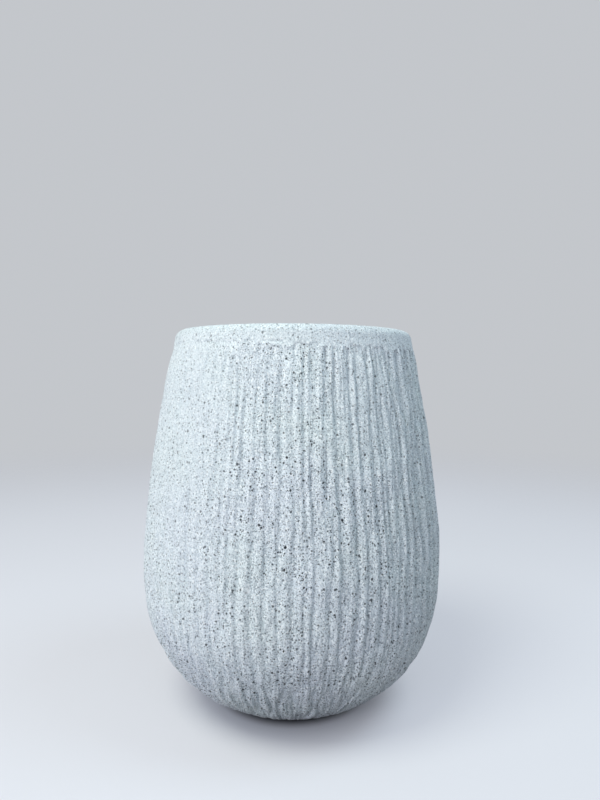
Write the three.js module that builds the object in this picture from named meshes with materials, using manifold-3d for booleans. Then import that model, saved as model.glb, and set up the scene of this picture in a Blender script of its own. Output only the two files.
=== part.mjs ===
// Fibrecast planter: an egg-shaped pot cast in one piece from fibre-reinforced cement, with
// hand-combed ribs, a smooth rim band and a rubber stopper in the drain hole of its floor.
// Millimetres, +Z up. The origin is the centre of the foot, on the surface that the pot stands on.
import * as THREE from 'three';
import { mergeVertices } from 'three/addons/utils/BufferGeometryUtils.js';
import Module from 'manifold-3d';

const wasm = await Module();
wasm.setup();
const { lerp, smoothstep, degToRad, seededRandom } = THREE.MathUtils;

// Outer form of the casting
const potHeight = 400;
const bellyRadius = 163;
const bellyHeight = 156;
const mouthRadius = 128.5;
const footRadius = 63;
const footInset = 5; // how far the ring that it stands on lies inside the foot
const footGap = 1.8; // height of the bowl's edge above that ring
const shoulderCurve = 1.56; // power of the upper wall: higher leans in later
const bowlCurve = 2.58; // power of the bowl along the height: higher turns in lower down
const bowlFullness = 2.13; // power of the bowl along the radius: higher is fuller

// Walls
const wallThickness = 10;
const floorThickness = 16;
const lipWidth = 18;
const lipDepth = 26;
const lipOuterRound = 10;
const lipInnerRound = 5;

// Smooth band under the lip, and the ragged ledge where the ribs stop below it
const bandHeight = 19;
const bandInset = 1;
const ledgeUnevenness = 2;
const ledgeSlant = 3; // how far the ledge rises and falls round the pot

// Combed ribs: widths and depths vary between the lowest and highest share of the mean
const ribPitch = 11.6;
const ribWidths = [0.5, 1.5];
const ribDepth = 3.7;
const ribDepths = [0.5, 1];
const ribSway = 1.1;
const ribSwayLength = 34;
const ribSwayDrift = 0.3;
const ribBreakLength = 21;
const ribBreakShare = 0.4;
const ribSlumpShare = 0.2;
const ribFadeStart = 3;
const ribFadeHeight = 30;
const crestStart = 0.34; // share of a rib's width
const crestEnd = 0.66;
const faintBearing = degToRad(-148); // side where the comb hardly bit
const wornBearing = degToRad(-42); // side where the bowl's ribs are worn
const faintReach = degToRad(50); // how far round each such side goes
const faintShare = 0.55; // share of the depth that is lost there
const bowlRibs = [60, 140]; // heights between which the bowl's share of the faintness fades
const combSeed = 11;

// Underside and drain hole, with the stopper's seat in the floor
const hollowRadius = 44;
const hollowDepth = 3;
const hollowDraft = 1.5;
const drainRadius = 10;
const seatRadius = 19;
const seatDepth = 5;

// Rubber stopper
const seatGap = 0.3;
const stemGap = 0.3;
const fingerGap = 2.5;
const headSink = 0.5;
const headEdgeRound = 1.6;
const headSkin = 3;
const stemTaper = 0.7;
const stemLift = 1;
const stemWall = 3;

// Fineness of the facets
const bowlRows = 9;
const shoulderRows = 7;
const roundSteps = 3;
const cavitySides = 48;
const drainSides = 32;
const cutOvershoot = 2;
const searchStep = 0.1;

const ribTop = potHeight - bandHeight;
const lipHeight = potHeight - lipOuterRound;
const lipRadius = outerRadius(lipHeight) - bandInset;
const seatFloor = floorThickness - seatDepth;
const footRing = footRadius - footInset;

const fibrecast = new THREE.MeshStandardMaterial({ color: 0xdde5ea, roughness: 0.9, metalness: 0 });
const rubber = new THREE.MeshStandardMaterial({ color: 0x2a2a2b, roughness: 0.75, metalness: 0 });

// Radius of the outer form at a height: a lean curve above the belly, a superellipse below it.
function outerRadius(height) {
  if (height >= bellyHeight) {
    const rise = (height - bellyHeight) / (potHeight - bellyHeight);
    return bellyRadius - (bellyRadius - mouthRadius) * rise ** shoulderCurve;
  }
  const footDrop = (1 - (footRadius / bellyRadius) ** bowlFullness) ** (1 / bowlCurve);
  const drop = footDrop * (bellyHeight - height) / bellyHeight;
  return bellyRadius * (1 - drop ** bowlCurve) ** (1 / bowlFullness);
}

// Heights of the facet rows, close together where the bowl turns in, up to a given top.
function wallRows(top) {
  const bowl = Array.from({ length: bowlRows + 1 }, (_, row) => (
    bellyHeight * (1 - Math.cos(Math.PI / 2 * row / bowlRows))
  ));
  const shoulder = Array.from({ length: shoulderRows }, (_, row) => (
    lerp(bellyHeight, top, (row + 1) / shoulderRows)
  ));
  return [...bowl, ...shoulder];
}

// Turns a closed three.js geometry into a solid that can be cut.
function solidOf(geometry) {
  const bare = geometry.clone();
  bare.deleteAttribute('normal');
  bare.deleteAttribute('uv');
  const merged = mergeVertices(bare);
  return new wasm.Manifold(new wasm.Mesh({
    numProp: 3,
    vertProperties: new Float32Array(merged.attributes.position.array),
    triVerts: new Uint32Array(merged.index.array),
  }));
}

// Turns a solid back into a named three.js mesh.
function meshOf(solid, name, material) {
  const { vertProperties, triVerts } = solid.getMesh();
  const geometry = new THREE.BufferGeometry();
  geometry.setAttribute('position', new THREE.BufferAttribute(vertProperties, 3));
  geometry.setIndex(new THREE.BufferAttribute(triVerts, 1));
  geometry.computeVertexNormals();
  const mesh = new THREE.Mesh(geometry, material);
  mesh.name = name;
  return mesh;
}

// Revolves a profile of [radius, height] points about the pot's axis.
function revolve(profile, sides) {
  const points = profile.map(([radius, height]) => new THREE.Vector2(radius, height));
  const geometry = new THREE.LatheGeometry(points, sides);
  geometry.rotateX(Math.PI / 2);
  return solidOf(geometry);
}

// Points of a rounded edge, both ends included.
function roundedEdge(centreRadius, centreHeight, round, fromDegrees, toDegrees) {
  return Array.from({ length: roundSteps + 1 }, (_, step) => {
    const angle = degToRad(lerp(fromDegrees, toDegrees, step / roundSteps));
    return [centreRadius + round * Math.cos(angle), centreHeight + round * Math.sin(angle)];
  });
}

// Solid through horizontal rings of [angle, radius, height] points, listed from the foot upwards.
// Neighbouring rings may have different numbers of points.
function loft(rings) {
  const positions = [];
  const triangles = [];
  const addPoint = ([angle, radius, height]) => {
    positions.push(radius * Math.cos(angle), radius * Math.sin(angle), height);
    return positions.length / 3 - 1;
  };
  const indexed = rings.map((ring) => ring.map(addPoint));
  const angleAfter = (ring, step) => (
    ring[(step + 1) % ring.length][0] + (step + 1 >= ring.length ? 2 * Math.PI : 0)
  );

  for (let level = 1; level < rings.length; level += 1) {
    const [lower, upper] = [rings[level - 1], rings[level]];
    const [lowerIndex, upperIndex] = [indexed[level - 1], indexed[level]];
    let low = 0;
    let up = 0;
    while (low < lower.length || up < upper.length) {
      const lowerPoint = lowerIndex[low % lower.length];
      const upperPoint = upperIndex[up % upper.length];
      const lowerIsNext = up >= upper.length
        || (low < lower.length && angleAfter(lower, low) <= angleAfter(upper, up));
      if (lowerIsNext) {
        low += 1;
        triangles.push(lowerPoint, lowerIndex[low % lower.length], upperPoint);
      } else {
        up += 1;
        triangles.push(lowerPoint, upperIndex[up % upper.length], upperPoint);
      }
    }
  }

  const bottom = indexed[0];
  const top = indexed[indexed.length - 1];
  const bottomCentre = addPoint([0, 0, rings[0][0][2]]);
  const topCentre = addPoint([0, 0, rings[rings.length - 1][0][2]]);
  bottom.forEach((point, side) => {
    triangles.push(bottomCentre, bottom[(side + 1) % bottom.length], point);
  });
  top.forEach((point, side) => {
    triangles.push(topCentre, point, top[(side + 1) % top.length]);
  });

  const geometry = new THREE.BufferGeometry();
  geometry.setAttribute('position', new THREE.Float32BufferAttribute(positions, 3));
  geometry.setIndex(triangles);
  return solidOf(geometry);
}

// 1 at a bearing and 0 beyond the reach of the faint combing on either side of it.
function nearBearing(angle, bearing) {
  return smoothstep(Math.cos(angle - bearing), Math.cos(faintReach), 1);
}

// Layout of the combed ribs: each has its own width, sway and breaks, from a repeatable series.
function combedRibs() {
  const count = Math.round(2 * Math.PI * bellyRadius / ribPitch);
  seededRandom(combSeed);
  const ribs = Array.from({ length: count }, (_, rib) => ({
    width: lerp(...ribWidths, seededRandom()),
    depth: ribDepth * lerp(...ribDepths, seededRandom()),
    swayPhase: ribSwayDrift * rib + seededRandom(),
    breakPhase: 2 * Math.PI * seededRandom(),
    ledgeHeight: ribTop - ledgeUnevenness * seededRandom(),
  }));
  const totalWidth = ribs.reduce((sum, { width }) => sum + width, 0);
  let before = 0;
  ribs.forEach((rib) => {
    rib.start = 2 * Math.PI * before / totalWidth;
    before += rib.width;
    rib.end = 2 * Math.PI * before / totalWidth;
    rib.faint = nearBearing(rib.start, faintBearing);
    rib.worn = nearBearing(rib.start, wornBearing);
    rib.ledgeHeight += ledgeSlant * Math.sin(rib.start + rib.end);
  });
  return ribs;
}

// One ring of the ribbed wall: each rib gives its valley and the two edges of its rounded crest.
function ribbedRing(ribs, heightOf) {
  return ribs.flatMap((rib) => {
    const height = heightOf(rib);
    const radius = outerRadius(height);
    const faint = lerp(rib.worn, rib.faint, smoothstep(height, ...bowlRibs));
    const depth = rib.depth * (1 - faintShare * faint)
      * smoothstep(height, ribFadeStart, ribFadeStart + ribFadeHeight);
    const breakUp = 0.5 + 0.5 * Math.sin(height / ribBreakLength + rib.breakPhase);
    const sway = ribSway / bellyRadius * Math.sin(height / ribSwayLength + rib.swayPhase);
    const angleAt = (share) => lerp(rib.start, rib.end, share) + sway;
    return [
      [angleAt(0), radius - depth * (1 - ribBreakShare * breakUp), height],
      [angleAt(crestStart), radius - depth * ribSlumpShare * breakUp, height],
      [angleAt(crestEnd), radius, height],
    ];
  });
}

// One smooth ring, with a point at the start of each rib.
function smoothRing(ribs, radiusOf, heightOf) {
  return ribs.map((rib) => [rib.start, radiusOf(rib), heightOf(rib)]);
}

// The casting before it is hollowed: foot, ribbed wall, ledge, smooth band and rounded lip.
function castBody() {
  const ribs = combedRibs();
  const [firstRow, ...ribbedRows] = wallRows(ribTop).slice(0, -1).filter((row) => row > footGap);
  const lip = roundedEdge(lipRadius - lipOuterRound, lipHeight, lipOuterRound, 0, 90);
  return loft([
    smoothRing(ribs, () => footRing, () => 0),
    smoothRing(ribs, () => footRing, () => footGap),
    smoothRing(ribs, () => outerRadius(footGap), () => footGap),
    smoothRing(ribs, () => outerRadius(firstRow), () => firstRow),
    ...ribbedRows.map((row) => ribbedRing(ribs, () => row)),
    ribbedRing(ribs, (rib) => rib.ledgeHeight),
    smoothRing(
      ribs,
      (rib) => outerRadius(rib.ledgeHeight) - bandInset,
      (rib) => rib.ledgeHeight + bandInset / 2,
    ),
    ...lip.map(([radius, height]) => smoothRing(ribs, () => radius, () => height)),
  ]);
}

// Point of the inner wall: the outer form moved in by the wall's thickness, square to the surface.
function innerPoint(outerHeight) {
  const slope = (outerRadius(outerHeight + searchStep) - outerRadius(outerHeight)) / searchStep;
  const length = Math.hypot(1, slope);
  return [
    outerRadius(outerHeight) - wallThickness / length,
    outerHeight + wallThickness * slope / length,
  ];
}

// The space inside: flat floor, bowl and wall, drawn in under the thick lip.
function cavity() {
  let floorEdge = 0;
  while (innerPoint(floorEdge)[1] < floorThickness) {
    floorEdge += searchStep;
  }
  const rows = wallRows(potHeight - lipDepth).filter((row) => row > floorEdge + wallThickness);
  const lipInner = lipRadius - lipWidth + lipInnerRound;
  return revolve([
    [0, floorThickness],
    [innerPoint(floorEdge)[0], floorThickness],
    ...rows.map(innerPoint),
    ...roundedEdge(lipInner, potHeight - lipInnerRound, lipInnerRound, 180, 90),
    [lipInner, potHeight + cutOvershoot],
    [0, potHeight + cutOvershoot],
  ], cavitySides);
}

// The cut through the floor: shallow hollow of the underside, drain hole and stopper's seat.
function drain() {
  return revolve([
    [0, -cutOvershoot],
    [hollowRadius + hollowDraft * (1 + cutOvershoot / hollowDepth), -cutOvershoot],
    [hollowRadius, hollowDepth],
    [drainRadius, hollowDepth],
    [drainRadius, seatFloor],
    [seatRadius, seatFloor],
    [seatRadius, floorThickness + cutOvershoot],
    [0, floorThickness + cutOvershoot],
  ], drainSides);
}

// The stopper: a flanged head in the seat and a hollow, tapered stem down the drain hole.
function stopper() {
  const headBottom = seatFloor + seatGap;
  const headTop = floorThickness - headSink;
  const headRadius = seatRadius - fingerGap;
  const stemTop = drainRadius - stemGap;
  const stemEnd = stemTop - stemTaper;
  const stemBottom = hollowDepth + stemLift;
  return revolve([
    [0, headTop - headSkin],
    [stemEnd - stemWall, headTop - headSkin],
    [stemEnd - stemWall, stemBottom],
    [stemEnd, stemBottom],
    [stemTop, headBottom],
    [headRadius, headBottom],
    ...roundedEdge(headRadius - headEdgeRound, headTop - headEdgeRound, headEdgeRound, 0, 90),
    [0, headTop],
  ], drainSides);
}

const planter = new THREE.Group();
planter.name = 'fibrecast_planter';
planter.add(meshOf(castBody().subtract(cavity()).subtract(drain()), 'pot_shell', fibrecast));
planter.add(meshOf(stopper(), 'drain_plug', rubber));

export default planter;
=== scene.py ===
"""Fibrecast planter: the ribbed pot and its rubber stopper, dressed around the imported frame.

Run as a script in Blender 4.5. Lengths are in metres and +Z is up. The side seen in the
photograph faces -Y.
"""
import functools
import math

import bmesh
import bpy
import numpy as np
from mathutils import Matrix, Vector, noise


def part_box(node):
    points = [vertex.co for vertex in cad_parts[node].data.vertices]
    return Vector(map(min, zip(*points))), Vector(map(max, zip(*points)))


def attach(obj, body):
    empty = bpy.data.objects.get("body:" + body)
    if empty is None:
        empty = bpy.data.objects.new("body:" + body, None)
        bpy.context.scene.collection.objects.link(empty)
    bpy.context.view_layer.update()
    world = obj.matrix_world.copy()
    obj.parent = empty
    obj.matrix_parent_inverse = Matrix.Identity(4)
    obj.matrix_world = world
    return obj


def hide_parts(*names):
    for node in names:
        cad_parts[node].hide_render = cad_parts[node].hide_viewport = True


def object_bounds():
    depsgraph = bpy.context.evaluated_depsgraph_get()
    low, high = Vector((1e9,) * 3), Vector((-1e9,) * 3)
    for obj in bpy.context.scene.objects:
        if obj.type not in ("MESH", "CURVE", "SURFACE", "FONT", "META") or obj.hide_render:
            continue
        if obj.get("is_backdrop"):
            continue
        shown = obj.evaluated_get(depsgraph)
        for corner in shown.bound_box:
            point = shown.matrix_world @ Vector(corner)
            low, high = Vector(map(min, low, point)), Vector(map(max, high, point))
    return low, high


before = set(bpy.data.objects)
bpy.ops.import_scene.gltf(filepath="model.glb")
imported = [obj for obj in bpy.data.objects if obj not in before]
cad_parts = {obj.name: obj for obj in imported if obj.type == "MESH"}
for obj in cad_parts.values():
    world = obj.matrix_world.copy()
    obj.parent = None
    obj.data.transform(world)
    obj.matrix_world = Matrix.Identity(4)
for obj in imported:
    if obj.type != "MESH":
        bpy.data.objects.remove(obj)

bl_info = {
    "name": "Fibrecast Planter",
    "version": (1, 0, 0),
    "blender": (4, 5, 0),
    "location": "View3D > Sidebar > Planter",
    "description": "Ribbed fibrecast pot with a speckled finish and a rubber drain stopper",
    "category": "Object",
}

MM = 0.001
MERGE = 0.01 * MM
SLOPE_STEP = 0.1 * MM
CAD_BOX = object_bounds()
POT_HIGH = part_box("pot_shell")[1]
PLUG_LOW, PLUG_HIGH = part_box("drain_plug")

Length = functools.partial(bpy.props.FloatProperty, unit="LENGTH")
Angle = functools.partial(bpy.props.FloatProperty, subtype="ANGLE")
Colour = functools.partial(bpy.props.FloatVectorProperty, subtype="COLOR")


class PlanterForm(bpy.types.PropertyGroup):
    """Sizes of the casting."""

    height: Length(name="Height", description="Foot to lip", default=POT_HIGH[2])
    belly_radius: Length(
        name="Belly radius", description="Radius over the ribs at the widest girth", default=163 * MM)
    belly_height: Length(
        name="Belly height", description="Height of the widest girth", default=156 * MM)
    mouth_radius: Length(
        name="Mouth radius", description="Radius that the upper wall leans in to", default=128.5 * MM)
    foot_radius: Length(
        name="Foot radius", description="Outer radius of the ring that it stands on", default=63 * MM)
    foot_inset: Length(
        name="Foot inset", description="How far the ring that touches the floor lies inside the foot",
        default=5 * MM)
    foot_gap: Length(
        name="Foot gap", description="Height of the bowl's edge above the floor", default=1.8 * MM)
    shoulder_curve: bpy.props.FloatProperty(
        name="Shoulder curve", description="Power of the upper wall: higher leans in later",
        default=1.56)
    bowl_curve: bpy.props.FloatProperty(
        name="Bowl curve", description="Power of the bowl along the height", default=2.58)
    bowl_fullness: bpy.props.FloatProperty(
        name="Bowl fullness", description="Power of the bowl along the radius", default=2.13)
    wall: Length(name="Wall", description="Thickness of the wall", default=10 * MM)
    floor: Length(name="Floor", description="Thickness of the floor", default=16 * MM)
    lip_width: Length(name="Lip width", description="Thickness of the lip", default=18 * MM)
    lip_depth: Length(name="Lip depth", description="Depth of the thick lip inside", default=26 * MM)
    lip_outer_round: Length(
        name="Outer round", description="Rounding of the lip's outer edge", default=10 * MM)
    lip_inner_round: Length(
        name="Inner round", description="Rounding of the lip's inner edge", default=5 * MM)
    band_height: Length(name="Band height", description="Height of the smooth band", default=19 * MM)
    band_inset: Length(
        name="Band inset", description="How far the band lies inside the ribs' crests",
        default=1.0 * MM)
    hollow_radius: Length(
        name="Hollow radius", description="Radius of the underside's hollow", default=44 * MM)
    hollow_depth: Length(
        name="Hollow depth", description="Depth of the underside's hollow", default=3 * MM)
    hollow_draft: Length(
        name="Hollow draft", description="Slope of the hollow's edge", default=1.5 * MM)
    drain_radius: Length(name="Drain radius", description="Radius of the drain hole", default=10 * MM)
    seat_radius: Length(name="Seat radius", description="Radius of the stopper's seat", default=19 * MM)
    seat_depth: Length(name="Seat depth", description="Depth of the stopper's seat", default=5 * MM)


class PlanterRibs(bpy.types.PropertyGroup):
    """The hand-combed ribs and the roughness of the casting."""

    pitch: Length(name="Pitch", description="Mean spacing round the belly", default=11.6 * MM)
    depth: Length(name="Depth", description="Depth of the deepest valleys", default=3.7 * MM)
    sway: Length(name="Sway", description="Sideways wander of a rib", default=1.1 * MM)
    sway_length: Length(
        name="Sway length", description="Height over which a rib wanders", default=34 * MM)
    break_length: Length(
        name="Break length", description="Height over which a valley fills and clears", default=21 * MM)
    fade_start: Length(name="Fade start", description="Height at which the ribs begin", default=3 * MM)
    fade_height: Length(
        name="Fade height", description="Height over which the ribs reach their depth", default=30 * MM)
    ledge_unevenness: Length(
        name="Ledge unevenness", description="How ragged the ribs' upper ends are", default=2 * MM)
    ledge_slant: Length(
        name="Ledge slant", description="How far the ledge rises at one side and falls at the other",
        default=3 * MM)
    lump: Length(
        name="Lumps", description="Height of the lumps and smears along the ribs", default=0.45 * MM)
    faint_side: Angle(
        name="Faint side", description="Bearing of the side where the comb hardly bit",
        default=math.radians(-148))
    faint_reach: Angle(
        name="Faint reach", description="How far round that side the faint ribs go",
        default=math.radians(50))
    faint_share: bpy.props.FloatProperty(
        name="Faint share", description="Share of the depth that the faint and worn areas lose",
        default=0.55)
    worn_side: Angle(
        name="Worn side", description="Bearing of the side whose bowl is nearly smooth",
        default=math.radians(-42))
    even_pitch: Length(
        name="Even pitch", description="Spacing at the right, where the comb ran straight",
        default=9 * MM)
    even_turn: Angle(
        name="Even turn", description="How far round from the front the even spacing widens",
        default=math.radians(56))
    even_depth: Length(
        name="Even depth", description="Depth of the evenly spaced valleys", default=3.9 * MM)
    grain: Length(name="Grain", description="Height of the coarse grain", default=0.12 * MM)
    seed: bpy.props.IntProperty(name="Seed", description="Which run of the comb", default=11)


class PlanterFinish(bpy.types.PropertyGroup):
    """Colours of the surfaces."""

    coat: Colour(
        name="Coat", description="Off-white of the finished surface", default=(0.74, 0.83, 0.88))
    # Painted shade laid in the valleys, and also the tone of the coat's random darker patches.
    mottle_and_painted_shade: Colour(
        name="Coat in the valleys", description="Where the coat lies thin", default=(0.43, 0.52, 0.57))
    speck: Colour(name="Specks", description="Dark grit", default=(0.018, 0.022, 0.028))
    cement: Colour(name="Bare cement", description="Inside and underneath", default=(0.48, 0.49, 0.48))
    rubber: Colour(name="Rubber", description="The stopper", default=(0.022, 0.022, 0.024))


class PlanterStage(bpy.types.PropertyGroup):
    """Camera and light."""

    camera_distance: Length(name="Camera distance", description="From the pot's axis", default=0.6758)
    camera_height: Length(name="Camera height", description="Above the floor", default=0.352)
    camera_side: Length(name="Camera side", description="To the right of the axis", default=0.0077)
    camera_pitch: Angle(
        name="Camera pitch", description="Below the horizon", default=math.radians(2.31))
    camera_roll: Angle(name="Camera roll", description="Anticlockwise", default=math.radians(0.36))
    lens: bpy.props.FloatProperty(
        name="Lens", description="Focal length in millimetres on a 36 mm frame", default=27.15)
    key_power: bpy.props.FloatProperty(
        name="Key light", description="Watts of the high lamp at the left", default=19.9)
    front_power: bpy.props.FloatProperty(
        name="Front light", description="Watts of the low lamp in front", default=10.8)
    right_power: bpy.props.FloatProperty(
        name="Right light", description="Watts of the high lamp at the right", default=10.6)
    sky: bpy.props.FloatProperty(
        name="Sky", description="Strength of the even light from all round", default=0.45)
    backdrop: Colour(
        name="Backdrop", description="Colour seen behind the pot", default=(0.55, 0.57, 0.60))
    floor: Colour(name="Floor", description="Colour of the floor", default=(0.80, 0.82, 0.88))
    # The floor throws a dark painted shade up at the pot and, at the left and less at the right, painted
    # light; the camera sees another colour.
    floor_bounce_painted_shade: Colour(
        name="Floor bounce", description="Colour that the floor throws up at the pot",
        default=(0.20, 0.19, 0.20))
    floor_bounce_painted_light: Colour(
        name="Floor bounce at the left", description="The same under the key light",
        default=(0.66, 0.63, 0.66))


class Value:
    """A number that varies over a surface: an output socket with arithmetic."""

    def __init__(self, nodes, socket):
        self.nodes = nodes
        self.socket = socket

    def output(self, name):
        """Another output of the same node."""
        return Value(self.nodes, self.socket.node.outputs[name])

    def _math(self, operation, *terms):
        inputs = dict(enumerate(terms))
        return self.nodes.add("ShaderNodeMath", {"operation": operation}, inputs)

    def __add__(self, other):
        return self._math("ADD", self, other)

    def __sub__(self, other):
        return self._math("SUBTRACT", self, other)

    def __rsub__(self, other):
        return self._math("SUBTRACT", other, self)

    def __mul__(self, other):
        return self._math("MULTIPLY", self, other)

    __radd__ = __add__
    __rmul__ = __mul__


class Nodes:
    """A node tree, with one method that adds a node and links its sockets."""

    # Places of the colour sockets among a mix node's inputs and outputs.
    MIX_FIRST = 6
    MIX_SECOND = 7
    MIX_RESULT = 2

    def __init__(self, owner):
        owner.use_nodes = True
        self.tree = owner.node_tree
        self.tree.nodes.clear()

    def add(self, kind, settings=None, inputs=None, output=0):
        node = self.tree.nodes.new(kind)
        for name, setting in (settings or {}).items():
            setattr(node, name, setting)
        for key, given in (inputs or {}).items():
            if isinstance(given, Value):
                self.tree.links.new(given.socket, node.inputs[key])
            else:
                node.inputs[key].default_value = given
        return Value(self, node.outputs[output]) if node.outputs else None

    def ramp(self, source, low, high):
        """0 below low and 1 above high, or the other way round, with a smooth step between."""
        settings = {"interpolation_type": "SMOOTHSTEP"}
        ends = {"From Min": min(low, high), "From Max": max(low, high)}
        levels = {"To Min": 0.0, "To Max": 1.0} if low < high else {"To Min": 1.0, "To Max": 0.0}
        return self.add("ShaderNodeMapRange", settings, {"Value": source, **ends, **levels})

    def mix(self, factor, first, second):
        """Mixes two colours, each a Value or a plain (red, green, blue)."""
        colours = [colour if isinstance(colour, Value) else (*colour, 1) for colour in (first, second)]
        inputs = {"Factor": factor, self.MIX_FIRST: colours[0], self.MIX_SECOND: colours[1]}
        return self.add("ShaderNodeMix", {"data_type": "RGBA"}, inputs, self.MIX_RESULT)

    def noise(self, where, size, detail=2.0, roughness=0.5):
        """Noise whose blobs are about the given size."""
        inputs = {"Vector": where, "Scale": 1 / size, "Detail": detail, "Roughness": roughness}
        return self.add("ShaderNodeTexNoise", None, inputs)


def outer_radius(form, height):
    """Radius of the outer form over the ribs' crests."""
    if height >= form.belly_height:
        rise = (height - form.belly_height) / (form.height - form.belly_height)
        return form.belly_radius - (form.belly_radius - form.mouth_radius) * rise ** form.shoulder_curve
    foot = form.foot_radius / form.belly_radius
    foot_drop = (1 - foot ** form.bowl_fullness) ** (1 / form.bowl_curve)
    drop = foot_drop * (form.belly_height - height) / form.belly_height
    return form.belly_radius * (1 - drop ** form.bowl_curve) ** (1 / form.bowl_fullness)


def outer_slope(form, height):
    """How much the outer form's radius grows with height."""
    return (outer_radius(form, height + SLOPE_STEP) - outer_radius(form, height)) / SLOPE_STEP


def inner_point(form, height):
    """The outer form's point at a height, moved in by the wall, square to the surface."""
    slope = outer_slope(form, height)
    length = math.hypot(1, slope)
    return (outer_radius(form, height) - form.wall / length, height + form.wall * slope / length)


def rounded(centre_radius, centre_height, round_radius, start, end, steps):
    """Points of a rounded edge, angles in degrees, both ends included."""
    points = []
    for angle in np.radians(np.linspace(start, end, steps + 1)):
        points.append((centre_radius + round_radius * math.cos(angle),
                       centre_height + round_radius * math.sin(angle)))
    return points


def spun(mesh, profile, steps, sectors):
    """Spins a chain of (radius, height) points about the pot's axis and returns its vertices.

    One sector is spun in fine steps, then copied round, because a spin slows down with its steps.
    """
    before = set(mesh.verts) | set(mesh.edges) | set(mesh.faces)
    verts = [mesh.verts.new((radius, 0, height)) for radius, height in profile]
    edges = [mesh.edges.new(pair) for pair in zip(verts, verts[1:])]
    sector = 2 * math.pi / sectors
    turn = {"cent": (0, 0, 0), "axis": (0, 0, 1)}
    bmesh.ops.spin(mesh, geom=verts + edges, angle=sector, steps=steps // sectors, **turn)
    strip = [part for part in (*mesh.verts, *mesh.edges, *mesh.faces) if part not in before]
    bmesh.ops.spin(mesh, geom=strip, angle=2 * math.pi - sector, steps=sectors - 1,
                   use_duplicate=True, **turn)
    fresh = [vert for vert in mesh.verts if vert not in before]
    bmesh.ops.remove_doubles(mesh, verts=fresh, dist=MERGE)
    return [vert for vert in mesh.verts if vert not in before]


def seeded_series(seed):
    """A repeatable series of numbers from 0 to 1, the one that the casting's combing follows."""
    wrap = 0xFFFFFFFF
    state = seed
    while True:
        state = (state + 0x6D2B79F5) & wrap
        mixed = ((state ^ state >> 15) * (state | 1)) & wrap
        mixed ^= (mixed + ((mixed ^ mixed >> 7) * (mixed | 61))) & wrap
        yield (mixed ^ mixed >> 14) / (wrap + 1)


class Comb:
    """Layout of the combed ribs, as in the casting, with a smooth section across each rib."""

    WIDTHS = (0.5, 1.5)
    DEPTHS = (0.5, 1.0)
    SWAY_DRIFT = 0.3
    BREAK_SHARE = 0.4
    SLUMP_SHARE = 0.2
    CREST = (0.44, 0.56)
    LEAST_GAP = 1e-9

    def __init__(self, form, ribs):
        self.form = form
        self.ribs = ribs
        self.rib_top = form.height - form.band_height
        count = round(2 * math.pi * form.belly_radius / ribs.pitch)
        series = seeded_series(ribs.seed)
        next(series)
        draws = np.array([[next(series) for _ in range(5)] for _ in range(count)])
        widths = np.interp(draws[:, 0], (0, 1), self.WIDTHS)
        self.depths = ribs.depth * np.interp(draws[:, 1], (0, 1), self.DEPTHS)
        self.sway_phases = self.SWAY_DRIFT * np.arange(count) + draws[:, 2]
        self.break_phases = 2 * math.pi * draws[:, 3]
        self.ledges = self.rib_top - ribs.ledge_unevenness * draws[:, 4]
        edges = 2 * math.pi * np.concatenate(([0], np.cumsum(widths))) / widths.sum()
        self.starts = edges[:-1]
        self.spans = np.diff(edges)

    @staticmethod
    def _across(angles, knots, levels):
        """Levels between the knots round the pot, flat at each low knot and sharp at each high one."""
        knots = knots % (2 * math.pi)
        order = np.argsort(knots)
        knots = knots[order]
        levels = levels[order]
        knots = np.concatenate((knots[-1:] - 2 * math.pi, knots, knots[:1] + 2 * math.pi))
        levels = np.concatenate((levels[-1:], levels, levels[:1]))
        right = np.clip(np.searchsorted(knots, angles, side="right"), 1, len(knots) - 1)
        gap = np.maximum(knots[right] - knots[right - 1], Comb.LEAST_GAP)
        share = np.clip((angles - knots[right - 1]) / gap, 0, 1)
        rise = levels[right] - levels[right - 1]
        return levels[right - 1] + rise * np.where(rise > 0, share ** 2, 1 - (1 - share) ** 2)

    def valley(self, angles, height):
        """Depth of the combing below the outer form along one ring."""
        ribs = self.ribs
        fade = np.clip((height - ribs.fade_start) / ribs.fade_height, 0, 1)
        depths = self.depths * fade * fade * (3 - 2 * fade)
        breaks = 0.5 + 0.5 * np.sin(height / ribs.break_length + self.break_phases)
        sway = ribs.sway / self.form.belly_radius * np.sin(height / ribs.sway_length + self.sway_phases)
        knots = [self.starts + sway + self.spans * share for share in (0, *self.CREST)]
        levels = [
            depths * (1 - self.BREAK_SHARE * breaks),
            depths * self.SLUMP_SHARE * breaks,
            np.zeros_like(depths),
        ]
        return self._across(angles, np.concatenate(knots), np.concatenate(levels))

    def ledge(self, angles):
        """Height at which the combing stops, round the pot."""
        slant = self.ribs.ledge_slant * np.sin(2 * angles)
        middles = self.starts + self.spans / 2
        return slant + np.interp(angles, middles, self.ledges, period=2 * math.pi)


def smooth_step(value, low, high):
    """0 below low, 1 above high and smooth between, on an array or a number."""
    share = np.clip((value - low) / (high - low), 0, 1)
    return share * share * (3 - 2 * share)


def between(area, outside, inside):
    """The first number where the area is 0 and the second where it is 1."""
    return outside + (inside - outside) * area


def furrows(blobs, width, power, depth):
    """As deep as given where a noise crosses zero, and 0 from where it reaches the given width."""
    return np.clip(1 - np.abs(blobs) / width, 0, 1) ** power * depth


def solid_noise(points, size, seed):
    """Noise from -1 to 1 at each point, with blobs of the given size, which may differ by axis."""
    scaled = points / np.asarray(size) + seed
    return np.array([noise.noise(Vector(point)) for point in scaled])


def finished_object(name, mesh, material):
    """Makes an object at the origin from a bmesh, with smooth faces."""
    data = bpy.data.meshes.new(name)
    mesh.to_mesh(data)
    mesh.free()
    data.shade_smooth()
    data.materials.append(material)
    piece = bpy.data.objects.new(name, data)
    bpy.context.scene.collection.objects.link(piece)
    return piece


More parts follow.
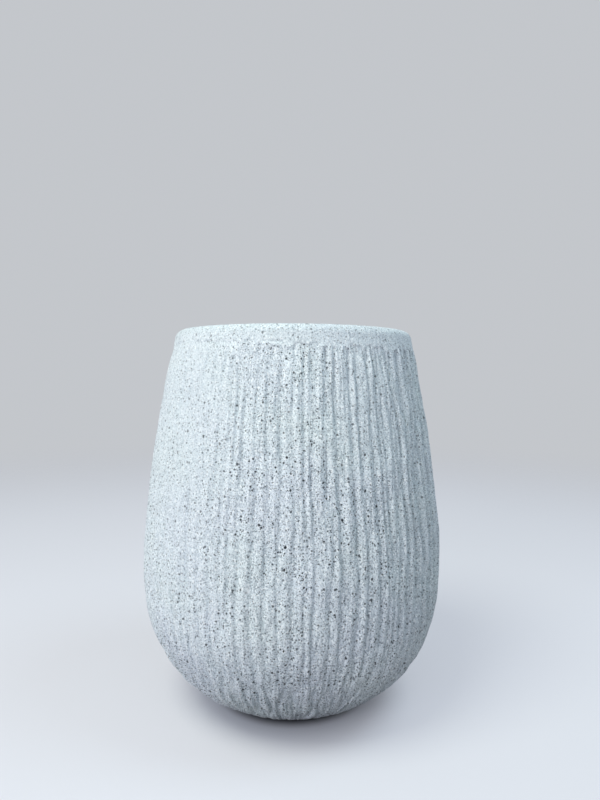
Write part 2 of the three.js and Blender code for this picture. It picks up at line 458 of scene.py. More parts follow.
# Tones that the coat, the bare cement and the rubber drift to.
BLUISH = (0.64, 0.68, 0.80)
GREENISH = (0.66, 0.77, 0.75)
# Painted shade for the calm areas: the band, the right shoulder, the faint side and the side turned to
# the right.
CALM_PAINTED_SHADE = (0.61, 0.69, 0.73)
DARK_SAND = (0.22, 0.27, 0.30)
LIGHT_SAND = (0.94, 0.99, 1.0)
PALE_CEMENT = (0.58, 0.585, 0.57)
DUST = (0.16, 0.16, 0.16)

# Each size of grit: its cells' size, the specks' mean radius, the share of cells that hold one, and
# how strongly it covers the coat.
GRIT = (
    (1.6 * MM, 0.36 * MM, 0.9, 0.6),
    (2.2 * MM, 0.50 * MM, 0.8, 0.9),
    (3.4 * MM, 0.74 * MM, 0.65, 1.0),
    (5.5 * MM, 1.00 * MM, 0.38, 1.0),
)
# The specks' least radius and its spread, as shares of the mean; then edges and outline.
GRIT_LEAST = 0.6
GRIT_SPREAD = 0.7
GRIT_EDGE = 0.16 * MM
GRIT_SHARE_EDGE = 0.01
GRIT_WANDER = 1.3 * MM
GRIT_WANDER_SIZE = 1.1 * MM
GRIT_MORE_BELOW = (120 * MM, 60 * MM)


def specks(nodes, place, cell, radius, share):
    """1 in specks of about the given radius, in a share of cells of the given size."""
    inputs = {"Vector": place, "Scale": 1 / cell, "Randomness": 1.0}
    near = nodes.add("ShaderNodeTexVoronoi", None, inputs, "Distance")
    parts = nodes.add("ShaderNodeSeparateColor", None, {"Color": near.output("Color")}, "Red")
    edge = near - (GRIT_LEAST + GRIT_SPREAD * parts.output("Green")) * (radius / cell)
    soft = GRIT_EDGE / cell
    held = nodes.ramp(parts, share + GRIT_SHARE_EDGE, share - GRIT_SHARE_EDGE)
    return nodes.ramp(edge, soft, -soft) * held


def ragged_place(nodes, place):
    """The place, moved a little to and fro, so that the specks aren't round."""
    inputs = {"Vector": place, "Scale": 1 / GRIT_WANDER_SIZE}
    wander = nodes.add("ShaderNodeTexNoise", None, inputs, "Color")
    middle = (0.5, 0.5, 0.5)
    shift = nodes.add("ShaderNodeVectorMath", {"operation": "SUBTRACT"}, {0: wander, 1: middle})
    shift = nodes.add("ShaderNodeVectorMath", {"operation": "SCALE"}, {0: shift, "Scale": GRIT_WANDER})
    return nodes.add("ShaderNodeVectorMath", {"operation": "ADD"}, {0: place, 1: shift})


def coat_colour(nodes, finish, place, mottle, valley, calm):
    """The off-white coat: patchy, full of light and dark sand, with painted shade in the valleys and
    painted shade on the calm areas.
    """
    tint = nodes.noise(place, size=60 * MM, detail=3.0)
    sand = nodes.noise(place, size=1.5 * MM, detail=2.0, roughness=0.75)
    painted_valley_shade_most = 0.54
    tint_most = 0.3
    mottle_most = 0.35
    calm_shade_most = 0.7
    sand_most = 0.95
    # Painted shade: the coat darkens with how deep the vertex lies in the valleys, creases and crack,
    # and on the lip.
    painted_valley_shade = nodes.ramp(valley, low=0.05, high=0.9) * painted_valley_shade_most
    bluish = nodes.ramp(tint, low=0.45, high=0.7) * tint_most
    greenish = nodes.ramp(tint, low=0.5, high=0.3) * tint_most
    shaded = nodes.ramp(mottle, low=0.4, high=0.75) * mottle_most
    dark_sand = nodes.ramp(sand, low=0.52, high=0.68) * (sand_most - 0.6 * calm)
    light_sand = nodes.ramp(sand, low=0.49, high=0.34) * (sand_most - 0.3 * calm)
    colour = nodes.mix(painted_valley_shade, finish.coat, finish.mottle_and_painted_shade)
    for share, tone in (
        (bluish, BLUISH),
        (greenish, GREENISH),
        (shaded, finish.mottle_and_painted_shade),
        (calm * calm_shade_most, CALM_PAINTED_SHADE),
        (dark_sand, DARK_SAND),
        (light_sand, LIGHT_SAND),
    ):
        colour = nodes.mix(share, colour, tone)
    return colour


def specked_colour(nodes, finish, place, colour, calm):
    """Dark grit over the coat, in crowds, and more of it on the bowl."""
    ragged = ragged_place(nodes, place)
    height = nodes.add("ShaderNodeSeparateXYZ", None, {"Vector": place}, "Z")
    crowd = nodes.ramp(nodes.noise(place, size=28 * MM), low=0.3, high=0.6)
    crowd = crowd + 0.7 * nodes.ramp(height, *GRIT_MORE_BELOW)
    crowded = 0.75 + 0.25 * crowd
    spared = 1 - 0.5 * calm
    for cell, radius, share, strength in GRIT:
        mask = specks(nodes, ragged, cell, radius, share) * (strength * crowded * spared)
        colour = nodes.mix(mask, colour, finish.speck)
    return colour


def casting_bump(nodes, place, calm):
    """Grit, pores and small beads drawn out along the ribs."""
    grit = nodes.noise(place, size=1.1 * MM, roughness=0.6)
    pores = nodes.noise(place, size=3.2 * MM, detail=3.0, roughness=0.6)
    along_ribs = (1, 1, 0.3)
    drawn = nodes.add("ShaderNodeVectorMath", {"operation": "MULTIPLY"}, {0: place, 1: along_ribs})
    beads = nodes.noise(drawn, size=2.6 * MM)
    relief = grit * 0.6 + pores * 0.8 + beads * (1.3 - 0.8 * calm)
    inputs = {"Strength": 1.0, "Distance": 0.6 * MM, "Height": relief}
    return nodes.add("ShaderNodeBump", None, inputs)


def fibrecast_material(finish):
    """Matt off-white coat full of dark grit over bare cement. The mesh's coat attribute says where."""
    material = bpy.data.materials.new("speckled_fibrecast")
    nodes = Nodes(material)
    place = nodes.add("ShaderNodeTexCoord", output="Object")
    # The valley attribute holds the strength of the painted shade; the calm attribute also sets a
    # painted shade.
    coat, valley, calm = (nodes.add("ShaderNodeAttribute", {"attribute_name": name}, output="Fac")
                          for name in ("coat", "valley", "calm"))
    mottle = nodes.noise(place, size=9 * MM, detail=4.0, roughness=0.65)
    colour = coat_colour(nodes, finish, place, mottle, valley, calm)
    colour = specked_colour(nodes, finish, place, colour, calm)
    patches = nodes.noise(place, size=14 * MM, detail=5.0, roughness=0.7)
    bare = nodes.mix(nodes.ramp(patches, low=0.3, high=0.7), finish.cement, PALE_CEMENT)
    shader = nodes.add("ShaderNodeBsdfPrincipled", None, {
        "Base Color": nodes.mix(coat, bare, colour),
        "Roughness": 0.86 + 0.1 * mottle,
        "Normal": casting_bump(nodes, place, calm),
        "Specular IOR Level": 0.3,
    })
    nodes.add("ShaderNodeOutputMaterial", None, {"Surface": shader})
    return material


def rubber_material(finish):
    """Matt black moulded rubber with a little cement dust."""
    material = bpy.data.materials.new("moulded_rubber")
    nodes = Nodes(material)
    place = nodes.add("ShaderNodeTexCoord", output="Object")
    patches = nodes.noise(place, size=6 * MM, detail=4.0, roughness=0.7)
    dust = nodes.ramp(patches, low=0.5, high=0.8)
    dust_most = 0.35
    grain = nodes.noise(place, size=0.5 * MM)
    bump = nodes.add("ShaderNodeBump", None, {"Strength": 0.3, "Distance": 0.1 * MM, "Height": grain})
    shader = nodes.add("ShaderNodeBsdfPrincipled", None, {
        "Base Color": nodes.mix(dust * dust_most, finish.rubber, DUST),
        "Roughness": 0.55 + 0.3 * dust,
        "Normal": bump,
    })
    nodes.add("ShaderNodeOutputMaterial", None, {"Surface": shader})
    return material


class Relief:
    """How far the outer wall lies inside its plain outer form, and how its surface looks there.

    Each array holds one number for each vertex. An area is 1 inside, 0 outside and smooth between.
    """

    # Each noise's blobs round the pot and up the wall, in millimetres, and its seed.
    DRIFT = (26, 60, 2.3)
    WOBBLE = (7, 15, 4.7)
    FIRMNESS = (8, 45, 8.9)
    THINNING = (14, 40, 12.3)
    STROKES = (3.8, 42, 1.3)
    LINES = (4.8, 80, 18.2)
    SWELL = (13, 90, 16.4)
    FOLDS = (12, 30, 14.1)
    SMEARS = (7, 14, 5.9)
    DENTS = (34, 42, 30.2)
    DRIPS = (6, 11, 21.7)
    CRACKS = (5, 60, 9.7)
    GRAIN = (2.6, 2.6, 7.7)
    SOFTNESS = (24, 24, 6.1)
    LEDGE = (8, 40, 3.1)

    # The main valleys: their rings, the noise in their place and depth, and where they level out.
    RING_DIGITS = 6
    RING_REACH = 0.01 * MM
    SHIFTS = (1.8, 0.7)
    THINNING_REACH = 20 * MM
    BITE = 1.15
    BITE_CHANGE = 1.3
    BITE_RANGE = (0.3, 1.5)
    VALLEY_LIMIT = 3.7 * MM
    VALLEY_EASE = 2.8 * MM
    TURNED_LOSS = 0.3
    STRAIGHT_LOSS = 0.45
    # The evenly spaced valleys: the noise in their place, how narrow they are, and their strength.
    EVEN_SHIFTS = (0.5, 0.2)
    EVEN_SHARPNESS = 1.6
    EVEN_STRENGTH = 0.9
    EVEN_CHANGE = 0.5
    EVEN_EDGE_ON = 0.1
    # The ledge, the crack over it, and the finer forms.
    LEDGE_RAISED = 1.4 * MM
    LEDGE_RAGGED = 0.9 * MM
    SOFTER_LEFT = 0.4
    BAND_EDGE = 0.8 * MM
    BAND_ROUGHNESS = 0.3
    CRACK_RAISED = 0.4 * MM
    CRACK_WIDTH = 1.5 * MM
    CRACK_DEPTH = 0.6 * MM
    SINK = 0.5 * MM
    BULGE_BIAS = 0.8
    SWELL_DEPTH = 1.1 * MM
    DENT_DEPTH = 0.9 * MM
    DRIP_CUT = 0.1
    DRIP_HEIGHT = 3 * MM
    LUMP_BIAS = 0.6
    LUMP_STROKES = 0.5
    PROUD = 1.3 * MM
    PROUD_LOW_DOWN = 0.9 * MM
    CLEARANCE = 0.1 * MM
    # The look: how much painted shade each form lays on the coat, and how calm the smooth areas are; the
    # calm areas get a painted shade too.
    SWELL_PAINTED_SHADE = 0.6
    CRACK_PAINTED_SHADE = 0.7
    LIP_PAINTED_SHADE = 0.8
    BAND_CALM = 0.7
    TURNED_CALM = 0.5
    SHOULDER_CALM = 0.6

    def __init__(self, verts, form, ribs):
        self.form = form
        self.ribs = ribs
        self.comb = Comb(form, ribs)
        self.points = np.array([vert.co for vert in verts])
        self.heights = self.points[:, 2]
        self.angles = np.arctan2(self.points[:, 1], self.points[:, 0])
        self.radii = np.hypot(self.points[:, 0], self.points[:, 1])
        self.rightward = self.points[:, 0] / self.radii
        around = np.column_stack((np.cos(self.angles), np.sin(self.angles)))
        self.unrolled = np.column_stack((form.belly_radius * around, self.heights))
        self.find_areas()
        self.find_ledge()
        self.find_valleys()
        self.find_finer_forms()

    def blobs(self, kind, points=None):
        """One of the noises, at the given points or on the wall unrolled to the belly's girth."""
        around, along, seed = kind
        size = (around * MM, around * MM, along * MM)
        return solid_noise(self.unrolled if points is None else points, size, seed)

    def at_heights(self, start, whole, shift=0):
        """The area that starts and is whole at heights given as shares of the pot's height."""
        height = self.form.height
        return smooth_step(self.heights + shift, start * height, whole * height)

    def facing(self, bearing):
        """The area that faces a bearing, as wide as the faint ribs reach."""
        return smooth_step(np.cos(self.angles - bearing), math.cos(self.ribs.faint_reach), 1)

    def find_areas(self):
        """The areas in which the comb or the hand did something else."""
        ribs = self.ribs
        backward = self.points[:, 1] / self.radii
        self.right = smooth_step(self.rightward, low=0.05, high=0.45)
        self.turned = smooth_step(self.rightward, low=0.45, high=0.85)
        self.edge_on = smooth_step(self.rightward, low=0.8, high=0.97)
        self.straight = self.turned * smooth_step(backward, low=0.35, high=0)
        self.low_down = self.at_heights(start=0.35, whole=0.15)
        thinning = self.THINNING_REACH * self.blobs(self.THINNING)
        self.broad = self.at_heights(start=0.15, whole=0.25, shift=thinning)
        self.faint = self.facing(ribs.faint_side) * between(self.low_down, outside=1, inside=0.4)
        self.worn = self.facing(ribs.worn_side) * self.low_down
        self.firm = 1 - ribs.faint_share * np.maximum(self.faint, self.worn)
        self.fade = smooth_step(self.heights, ribs.fade_start, ribs.fade_start + ribs.fade_height)

    def find_ledge(self):
        """The ragged ledge, how softly the ribs run out there, and the band and crack over it."""
        ragged = self.LEDGE_RAGGED * self.blobs(self.LEDGE, self.points)
        ledge = self.comb.ledge(self.angles % (2 * math.pi)) + self.LEDGE_RAISED + ragged
        self.below_ledge = ledge - self.heights
        level = self.blobs(self.SOFTNESS, self.points) - self.SOFTER_LEFT * self.rightward
        self.softness = smooth_step(level, low=-0.25, high=0.35)
        overlap = between(self.softness, outside=3 * MM, inside=0.6 * MM)
        self.in_band = smooth_step(self.heights, ledge - overlap, ledge + self.BAND_EDGE)
        self.settled = smooth_step(self.below_ledge, low=0, high=40 * MM)
        opened = smooth_step(self.blobs(self.CRACKS, self.points), low=0, high=0.3)
        off_middle = (self.below_ledge + self.CRACK_RAISED) / self.CRACK_WIDTH
        self.crack = np.exp(-off_middle ** 2) * opened

    def find_valleys(self):
        """Depth of the comb's valleys, which wander, break off, and run out under the ledge."""
        drift = self.blobs(self.DRIFT)
        wobble = self.blobs(self.WOBBLE)
        shift = self.SHIFTS[0] * drift + self.SHIFTS[1] * wobble
        angles = self.angles + shift * self.ribs.sway / self.form.belly_radius
        angles %= 2 * math.pi
        combed = np.zeros(len(angles))
        for height in np.unique(np.round(self.heights, self.RING_DIGITS)):
            ring = np.abs(self.heights - height) < self.RING_REACH
            combed[ring] = self.comb.valley(angles[ring], height)
        firmness = self.blobs(self.FIRMNESS) * between(self.turned, outside=1, inside=0.4)
        held = self.firm * between(self.broad, outside=0.4, inside=1)
        combed *= np.clip(self.BITE + self.BITE_CHANGE * firmness, *self.BITE_RANGE) * held
        combed = self.VALLEY_LIMIT * (1 - np.exp(-combed / self.VALLEY_EASE))
        combed *= 1 - self.TURNED_LOSS * self.turned - self.STRAIGHT_LOSS * self.straight
        even = self.even_valleys(drift, wobble, firmness) * held
        run_out = between(self.softness, outside=2 * MM, inside=18 * MM)
        self.valley = (combed + even) * smooth_step(self.below_ledge, 0, run_out)

    def even_valleys(self, drift, wobble, firmness):
        """Depth of the narrow valleys at the right, which look evenly spaced from the front."""
        turn = self.ribs.even_turn
        bearing = self.angles + math.pi / 2
        beyond = math.sin(turn) + math.cos(turn) * (bearing - turn)
        sideways = np.where(bearing < turn, np.sin(bearing), beyond)
        pitches = sideways * self.form.belly_radius / self.ribs.even_pitch
        pitches += self.EVEN_SHIFTS[0] * drift + self.EVEN_SHIFTS[1] * wobble
        section = (0.5 - 0.5 * np.cos(2 * math.pi * pitches)) ** self.EVEN_SHARPNESS
        strength = self.EVEN_STRENGTH + self.EVEN_CHANGE * firmness + self.EVEN_EDGE_ON * self.edge_on
        return self.ribs.even_depth * section * strength * self.straight

    def find_finer_forms(self):
        """Creases, wrinkles, swells, dents, drips and lumps between and along the ribs."""
        strokes = self.blobs(self.STROKES)
        self.smears = self.blobs(self.SMEARS)
        creases = furrows(strokes, width=0.35, power=2, depth=1.3 * MM)
        creases *= between(self.firm, outside=0.4, inside=1)
        lines = furrows(self.blobs(self.LINES), width=0.3, power=1.5, depth=0.7 * MM)
        self.creases = creases + lines * self.turned
        wrinkles = furrows(self.blobs(self.FOLDS), width=0.45, power=2, depth=4 * MM)
        wrinkles *= (1 - self.broad) * self.fade
        self.wrinkles = wrinkles * between(self.worn, outside=1, inside=0.4)
        shown = self.fade * self.settled
        self.swell = (self.BULGE_BIAS + self.blobs(self.SWELL)) * self.SWELL_DEPTH * self.firm * shown
        dents = self.blobs(self.DENTS) * between(self.faint, outside=1, inside=0.4)
        self.dents = (self.BULGE_BIAS + dents) * self.DENT_DEPTH * shown
        drips = np.clip(self.blobs(self.DRIPS) - self.DRIP_CUT, 0, None) * self.DRIP_HEIGHT
        self.drips = drips * self.at_heights(start=0.36, whole=0.28) * self.firm * (1 - self.faint)
        lumps = self.ribs.lump * (self.LUMP_BIAS + self.smears + self.LUMP_STROKES * strokes)
        rough = (np.clip(lumps, 0, None) + self.creases) * between(self.fade, outside=1.5, inside=1)
        self.rough = rough + self.wrinkles

    def inset(self):
        """How far each vertex lies inside the plain outer form."""
        band_inset = self.form.band_inset
        grain = self.ribs.grain
        banded = band_inset + grain * (1 + self.smears) + self.BAND_ROUGHNESS * self.rough
        near_ledge = smooth_step(self.below_ledge, low=24 * MM, high=1 * MM)
        sunk = (band_inset + self.SINK) * self.softness * near_ledge
        proud = self.PROUD * self.settled + self.PROUD_LOW_DOWN * self.low_down
        cut = self.valley + self.rough + sunk + self.swell + self.dents
        combed = cut - self.drips * self.fade - proud
        inset = between(self.in_band, outside=combed, inside=banded) + self.CRACK_DEPTH * self.crack
        inset += grain * (1 + self.blobs(self.GRAIN, self.points))
        return inset * smooth_step(self.heights, low=self.form.foot_gap, high=12 * MM)

    def press(self, verts):
        """Moves the vertices in to their place, all inside the casting's box."""
        most = min(POT_HIGH[0], POT_HIGH[1]) - self.CLEARANCE
        girth = np.minimum(self.radii - self.inset(), most)
        for vert, factor in zip(verts, girth / self.radii):
            vert.co.x *= factor
            vert.co.y *= factor

    def shade(self):
        """How strongly painted shade darkens each vertex: its depth in a valley, crease, wrinkle or
        swell as a share of the ribs' depth, more on the side turned to the right, plus painted shade
        along the crack and on the lip.
        """
        depth = self.valley + self.creases + self.wrinkles + self.SWELL_PAINTED_SHADE * self.swell
        # The painted shade is made stronger on the side turned to the right.
        depth *= between(self.turned, outside=1, inside=1.4) * (1 - self.in_band) / self.ribs.depth
        depth += self.CRACK_PAINTED_SHADE * self.crack
        # Painted shade on the lip, which tones down the highlight that the lamps put on its rounded top.
        top = self.form.height
        on_lip = smooth_step(self.heights, low=top - 10 * MM, high=top - 4 * MM)
        return np.clip(np.maximum(depth, self.LIP_PAINTED_SHADE * on_lip), 0, 1)

    def calm(self):
        """How smooth and even the coat is at each vertex; the same share darkens it with painted shade
        on the band, the shoulder, the faint side and the side turned to the right.
        """
        upper = self.at_heights(start=0.3, whole=0.8)
        return np.maximum.reduce((
            self.BAND_CALM * self.in_band,
            self.TURNED_CALM * self.turned,
            self.SHOULDER_CALM * self.right * self.at_heights(start=0.55, whole=0.85),
            self.faint * between(upper, outside=0.2, inside=0.8),
        ))


class PLANTER_OT_shell(bpy.types.Operator):
    """Build the ribbed casting"""

    bl_idname = "planter.shell"
    bl_label = "Casting"

    OUTER_STEPS = 912
    INNER_STEPS = 96
    SECTORS = 24
    ROW_SPACING = 5.6 * MM
    FINE_SPACING = 1 * MM
    FINE_BELOW = 4 * MM
    FINE_ABOVE = 3 * MM
    FOOT_ROUND = 0.3
    BREAK_EDGE = 0.6 * MM
    INSIDE_SAMPLES = 200
    INSIDE_SPACING = 4 * ROW_SPACING
    FLOOR_POINTS = 7
    COAT_REACH = 1.6
    COAT_FADE = 6 * MM
    COAT_RAGGED = 6 * MM
    COAT_RAGGED_SIZE = 18 * MM

    def outer_profile(self, form, ribs):
        """From the foot's edge up the wall and over the lip to the middle of its flat top."""
        ledge = form.height - form.band_height
        fine_from = ledge - ribs.ledge_slant - ribs.ledge_unevenness - self.FINE_BELOW
        fine_to = ledge + ribs.ledge_slant + self.FINE_ABOVE
        lip_height = form.height - form.lip_outer_round
        heights = [form.foot_gap]
        while heights[-1] < lip_height:
            here = heights[-1]
            spacing = self.FINE_SPACING if fine_from <= here < fine_to else self.ROW_SPACING
            heights.append(here + spacing / math.hypot(1, outer_slope(form, here)))
        heights = [height for height in heights if height < lip_height - self.FINE_SPACING]
        wall = [(outer_radius(form, height), height) for height in heights]
        centre = outer_radius(form, lip_height) - form.lip_outer_round
        lip = rounded(centre, lip_height, form.lip_outer_round, start=0, end=90, steps=8)
        ring = form.foot_radius - form.foot_inset
        corner = self.FOOT_ROUND * form.foot_gap
        foot = [(ring, 0), (ring, form.foot_gap - corner), (ring + corner, form.foot_gap)]
        return foot + wall + lip

    def inner_profile(self, form):
        """From the flat top of the lip down the inside, through the drain and out to the foot ring."""
        lip_radius = outer_radius(form, form.height - form.lip_outer_round) - form.band_inset
        edge = lip_radius - form.lip_width + form.lip_inner_round
        lip = rounded(edge, form.height - form.lip_inner_round, form.lip_inner_round,
                      start=90, end=180, steps=6)
        heights = np.linspace(form.height - form.lip_depth, 0, self.INSIDE_SAMPLES)
        inside = [inner_point(form, height) for height in heights]
        wall = []
        for point in inside:
            far = not wall or math.dist(point, wall[-1]) > self.INSIDE_SPACING
            if far and point[1] > form.floor + self.FINE_SPACING:
                wall.append(point)
        floor_edge = min(inside, key=lambda point: abs(point[1] - form.floor))[0]
        seat_edge = form.seat_radius + self.BREAK_EDGE
        floor_radii = np.linspace(floor_edge, seat_edge, self.FLOOR_POINTS)
        floor = [(radius, form.floor) for radius in floor_radii]
        seat_floor = form.floor - form.seat_depth
        hole = [
            (form.seat_radius, form.floor - self.BREAK_EDGE),
            (form.seat_radius, seat_floor),
            (form.drain_radius + self.BREAK_EDGE, seat_floor),
            (form.drain_radius, seat_floor - self.BREAK_EDGE),
            (form.drain_radius, form.hollow_depth + self.BREAK_EDGE),
            (form.drain_radius + self.BREAK_EDGE, form.hollow_depth),
        ]
        under = [
            (form.hollow_radius, form.hollow_depth),
            (form.hollow_radius + form.hollow_draft, 0),
        ]
        return lip + wall + floor + hole + under

    def coated(self, form, place):
        """How well the coat covers a point of the inside: it ends raggedly below the lip."""
        if place.z <= form.hollow_depth:
            return 0.0
        end = form.height - self.COAT_REACH * form.lip_depth
        ragged = self.COAT_RAGGED * noise.noise(place / self.COAT_RAGGED_SIZE)
        return float(smooth_step(place.z + ragged, end, end + self.COAT_FADE))

    def execute(self, context):
        form = context.scene.planter_form
        ribs = context.scene.planter_ribs
        mesh = bmesh.new()
        coat_layer, painted_shade_layer, calm_layer = (
            mesh.verts.layers.float.new(name) for name in ("coat", "valley", "calm"))
        outer = spun(mesh, self.outer_profile(form, ribs), self.OUTER_STEPS, self.SECTORS)
        relief = Relief(outer, form, ribs)
        relief.press(outer)
        # The valley layer holds how strongly painted shade darkens each vertex.
        for vert, depth, calm in zip(outer, relief.shade(), relief.calm()):
            vert[coat_layer] = 1.0
            vert[painted_shade_layer] = depth
            vert[calm_layer] = calm
        inner = spun(mesh, self.inner_profile(form), self.INNER_STEPS, self.SECTORS)
        for vert in inner:
            vert[coat_layer] = self.coated(form, vert.co)
            vert[calm_layer] = Relief.BAND_CALM * vert[coat_layer]
        open_edges = [edge for edge in mesh.edges if edge.is_boundary]
        for is_top in (True, False):
            loops = [edge for edge in open_edges
                     if (edge.verts[0].co.z > form.belly_height) == is_top]
            bmesh.ops.bridge_loops(mesh, edges=loops)
        bmesh.ops.recalc_face_normals(mesh, faces=mesh.faces)
        shell = finished_object("ribbed_shell", mesh, fibrecast_material(context.scene.planter_finish))
        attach(shell, "pot")
        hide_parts("pot_shell")
        return {"FINISHED"}


class PLANTER_OT_stopper(bpy.types.Operator):
    """Build the rubber drain stopper"""

    bl_idname = "planter.stopper"
    bl_label = "Drain stopper"

    STEPS = 96
    SECTORS = 8
    EDGE_ROUND = 1.6 * MM
    CORNER = 0.5 * MM
    STEM_GAP = 0.3 * MM
    STEM_TAPER = 0.7 * MM
    STEM_WALL = 3 * MM
    HEAD_SKIN = 3 * MM
    SEAT_GAP = 0.3 * MM
    DISH = (0.62, 0.58)

    def profile(self, form):
        """From the bore's blind end down inside the stem, up its outside and over the dished head."""
        head_radius = (PLUG_HIGH[0] - PLUG_LOW[0]) / 2
        top = PLUG_HIGH[2]
        bottom = PLUG_LOW[2]
        head_bottom = form.floor - form.seat_depth + self.SEAT_GAP
        stem_top = form.drain_radius - self.STEM_GAP
        stem_end = stem_top - self.STEM_TAPER
        bore = stem_end - self.STEM_WALL
        head_edge = rounded(head_radius - self.EDGE_ROUND, top - self.EDGE_ROUND, self.EDGE_ROUND,
                            start=0, end=90, steps=6)
        return [
            (0, top - self.HEAD_SKIN),
            (bore - self.CORNER, top - self.HEAD_SKIN),
            (bore, top - self.HEAD_SKIN - self.CORNER),
            (bore, bottom + self.CORNER),
            (bore + self.CORNER, bottom),
            (stem_end - self.CORNER, bottom),
            (stem_end, bottom + self.CORNER),
            (stem_top - self.CORNER, head_bottom - self.CORNER),
            (stem_top, head_bottom),
            (head_radius - self.CORNER, head_bottom),
            (head_radius, head_bottom + self.CORNER),
            *head_edge,
            (head_radius * self.DISH[0], top),
            (head_radius * self.DISH[1], top - self.CORNER),
            (0, top - self.CORNER),
        ]

    def execute(self, context):
        mesh = bmesh.new()
        spun(mesh, self.profile(context.scene.planter_form), self.STEPS, self.SECTORS)
        bmesh.ops.recalc_face_normals(mesh, faces=mesh.faces)
        stopper = finished_object("rubber_stopper", mesh, rubber_material(context.scene.planter_finish))
        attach(stopper, "plug")
        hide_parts("drain_plug")
        return {"FINISHED"}


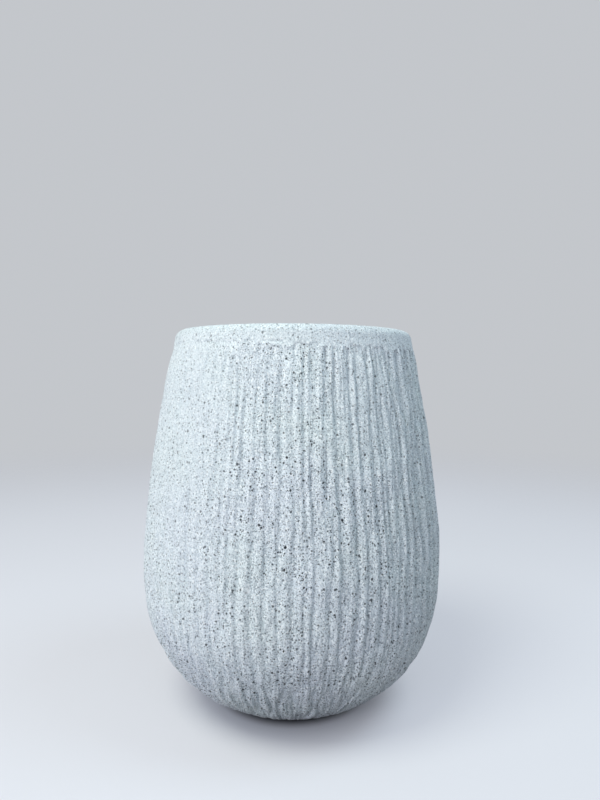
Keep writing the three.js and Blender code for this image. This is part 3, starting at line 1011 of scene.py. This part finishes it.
class PLANTER_OT_stage(bpy.types.Operator):
    """Build the floor, the lamps, the sky and the camera"""

    bl_idname = "planter.stage"
    bl_label = "Stage"

    # Each lamp's name, the property with its power, its colour, and its azimuth and height in degrees.
    LAMPS = (
        ("key_lamp", "key_power", (0.985, 1, 0.87), (-45, 60)),
        ("front_lamp", "front_power", (0.92, 0.90, 1), (-32, 12)),
        ("right_lamp", "right_power", (0.71, 0.89, 1), (80, 60)),
    )
    LAMP_TARGET = (0, 0, 0.2)
    LAMP_SIZE = 0.9
    LAMP_DISTANCE = 1.9
    SKY_COLOUR = (0.88, 0.93, 1.0, 1)
    SENSOR_WIDTH = 36
    FLOOR_RADIUS = 3.0
    FLOOR_SEGMENTS = 96
    FLOOR_FADE = (2.6, 0.9)
    FLOOR_GLOW = 0.45
    GLOW_STRENGTH = 0.85
    GLOW_RADII = (0.07, 0.15)
    # A painted contact shadow: the floor that the camera sees turns dark close round the foot.
    CONTACT_SHADOW_RADII = (0.070, 0.090)
    PAINTED_CONTACT_SHADOW = (0.05, 0.05, 0.06)
    # Where the floor throws painted light up at the pot instead of its dark painted shade: at its left,
    # and less at its right.
    LEFT_OF = (-0.03, -0.14)
    RIGHT_OF = (0.07, 0.15)
    RIGHT_PAINTED_LIGHT = 0.4

    def floor_colour(self, nodes, stage, place, distance, from_camera):
        """One colour for the camera, with a painted contact shadow round the foot, and one that lights
        the pot, with painted shade under it and painted light at its left and right.
        """
        painted_contact_shadow = nodes.ramp(distance, *self.CONTACT_SHADOW_RADII)
        seen = nodes.mix(painted_contact_shadow, self.PAINTED_CONTACT_SHADOW, stage.floor)
        side = nodes.add("ShaderNodeSeparateXYZ", None, {"Vector": place}, "X")
        painted_light_share = nodes.ramp(side, *self.LEFT_OF) + self.RIGHT_PAINTED_LIGHT * nodes.ramp(side, *self.RIGHT_OF)
        bounce = nodes.mix(painted_light_share, stage.floor_bounce_painted_shade, stage.floor_bounce_painted_light)
        return nodes.mix(from_camera, bounce, seen)

    def floor(self, stage):
        """A round floor that fades into the backdrop's colour with distance from the pot."""
        mesh = bmesh.new()
        bmesh.ops.create_circle(
            mesh, cap_ends=True, radius=self.FLOOR_RADIUS, segments=self.FLOOR_SEGMENTS)
        material = bpy.data.materials.new("pale_floor")
        nodes = Nodes(material)
        place = nodes.add("ShaderNodeTexCoord", output="Object")
        distance = nodes.add("ShaderNodeVectorMath", {"operation": "LENGTH"}, {0: place}, "Value")
        from_camera = nodes.add("ShaderNodeLightPath", output="Is Camera Ray")
        matt = nodes.add("ShaderNodeBsdfPrincipled", None, {
            "Base Color": self.floor_colour(nodes, stage, place, distance, from_camera),
            "Roughness": 0.8,
            "Specular IOR Level": 0.2,
        })
        inputs = {"Color": (*stage.floor, 1), "Strength": self.GLOW_STRENGTH}
        glow = nodes.add("ShaderNodeEmission", None, inputs)
        share = from_camera * nodes.ramp(distance, *self.GLOW_RADII) * self.FLOOR_GLOW
        surface = nodes.add("ShaderNodeMixShader", None, {0: share, 1: matt, 2: glow})
        clear = nodes.add("ShaderNodeBsdfTransparent")
        near = nodes.ramp(distance, *self.FLOOR_FADE)
        faded = nodes.add("ShaderNodeMixShader", None, {0: near, 1: clear, 2: surface})
        nodes.add("ShaderNodeOutputMaterial", None, {"Surface": faded})
        floor = finished_object("stage_floor", mesh, material)
        floor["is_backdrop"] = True

    def lamp(self, name, power, colour, bearing):
        """A round lamp that faces the pot. Its bearing is its azimuth and height in degrees."""
        azimuth, elevation = np.radians(bearing)
        outward = Vector((math.sin(azimuth) * math.cos(elevation),
                          -math.cos(azimuth) * math.cos(elevation), math.sin(elevation)))
        data = bpy.data.lights.new(name, "AREA")
        data.color = colour
        data.shape = "DISK"
        data.size = self.LAMP_SIZE
        data.energy = power
        lamp = bpy.data.objects.new(name, data)
        lamp.location = Vector(self.LAMP_TARGET) + self.LAMP_DISTANCE * outward
        lamp.rotation_euler = (-outward).to_track_quat("-Z", "Y").to_euler()
        bpy.context.scene.collection.objects.link(lamp)

    def sky(self, stage):
        """Even light from all round. The camera sees the backdrop's colour instead."""
        world = bpy.data.worlds.new("studio")
        bpy.context.scene.world = world
        nodes = Nodes(world)
        from_camera = nodes.add("ShaderNodeLightPath", output="Is Camera Ray")
        inputs = {"Color": (*stage.backdrop, 1), "Strength": 1.0}
        seen = nodes.add("ShaderNodeBackground", None, inputs)
        inputs = {"Color": self.SKY_COLOUR, "Strength": stage.sky}
        light = nodes.add("ShaderNodeBackground", None, inputs)
        blend = nodes.add("ShaderNodeMixShader", None, {0: from_camera, 1: light, 2: seen})
        nodes.add("ShaderNodeOutputWorld", None, {"Surface": blend})

    def camera(self, stage):
        """The photograph's camera, in front of the pot and a little above its middle."""
        data = bpy.data.cameras.new("photo_camera")
        data.lens = stage.lens
        data.sensor_width = self.SENSOR_WIDTH
        camera = bpy.data.objects.new("photo_camera", data)
        camera.location = (stage.camera_side, -stage.camera_distance, stage.camera_height)
        level = Matrix.Rotation(math.pi / 2 - stage.camera_pitch, 3, "X")
        camera.rotation_euler = (level @ Matrix.Rotation(stage.camera_roll, 3, "Z")).to_euler()
        bpy.context.scene.collection.objects.link(camera)
        bpy.context.scene.camera = camera

    def execute(self, context):
        stage = context.scene.planter_stage
        self.floor(stage)
        for name, power, colour, bearing in self.LAMPS:
            self.lamp(name, getattr(stage, power), colour, bearing)
        self.sky(stage)
        self.camera(stage)
        context.scene.view_settings.view_transform = "Standard"
        return {"FINISHED"}


class PLANTER_PT_panel(bpy.types.Panel):
    """Sizes, colours and pieces of the planter"""

    bl_idname = "PLANTER_PT_panel"
    bl_label = "Fibrecast planter"
    bl_space_type = "VIEW_3D"
    bl_region_type = "UI"
    bl_category = "Planter"

    def draw(self, context):
        for group in ("planter_form", "planter_ribs", "planter_finish", "planter_stage"):
            settings = getattr(context.scene, group)
            box = self.layout.box()
            for name in settings.__annotations__:
                box.prop(settings, name)
        for operator in (PLANTER_OT_shell, PLANTER_OT_stopper, PLANTER_OT_stage):
            self.layout.operator(operator.bl_idname)


GROUPS = {
    "planter_form": PlanterForm,
    "planter_ribs": PlanterRibs,
    "planter_finish": PlanterFinish,
    "planter_stage": PlanterStage,
}
CLASSES = (*GROUPS.values(), PLANTER_OT_shell, PLANTER_OT_stopper, PLANTER_OT_stage, PLANTER_PT_panel)


def register():
    for entry in CLASSES:
        bpy.utils.register_class(entry)
    for name, group in GROUPS.items():
        setattr(bpy.types.Scene, name, bpy.props.PointerProperty(type=group))


def unregister():
    for name in GROUPS:
        delattr(bpy.types.Scene, name)
    for entry in reversed(CLASSES):
        bpy.utils.unregister_class(entry)


def main():
    register()
    bpy.ops.planter.shell()
    bpy.ops.planter.stopper()
    bpy.ops.planter.stage()
    boxes = {"cad": CAD_BOX, "visual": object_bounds()}
    plain = {name: [[float(number) for number in corner] for corner in box]
             for name, box in boxes.items()}


if __name__ == "__main__":
    main()
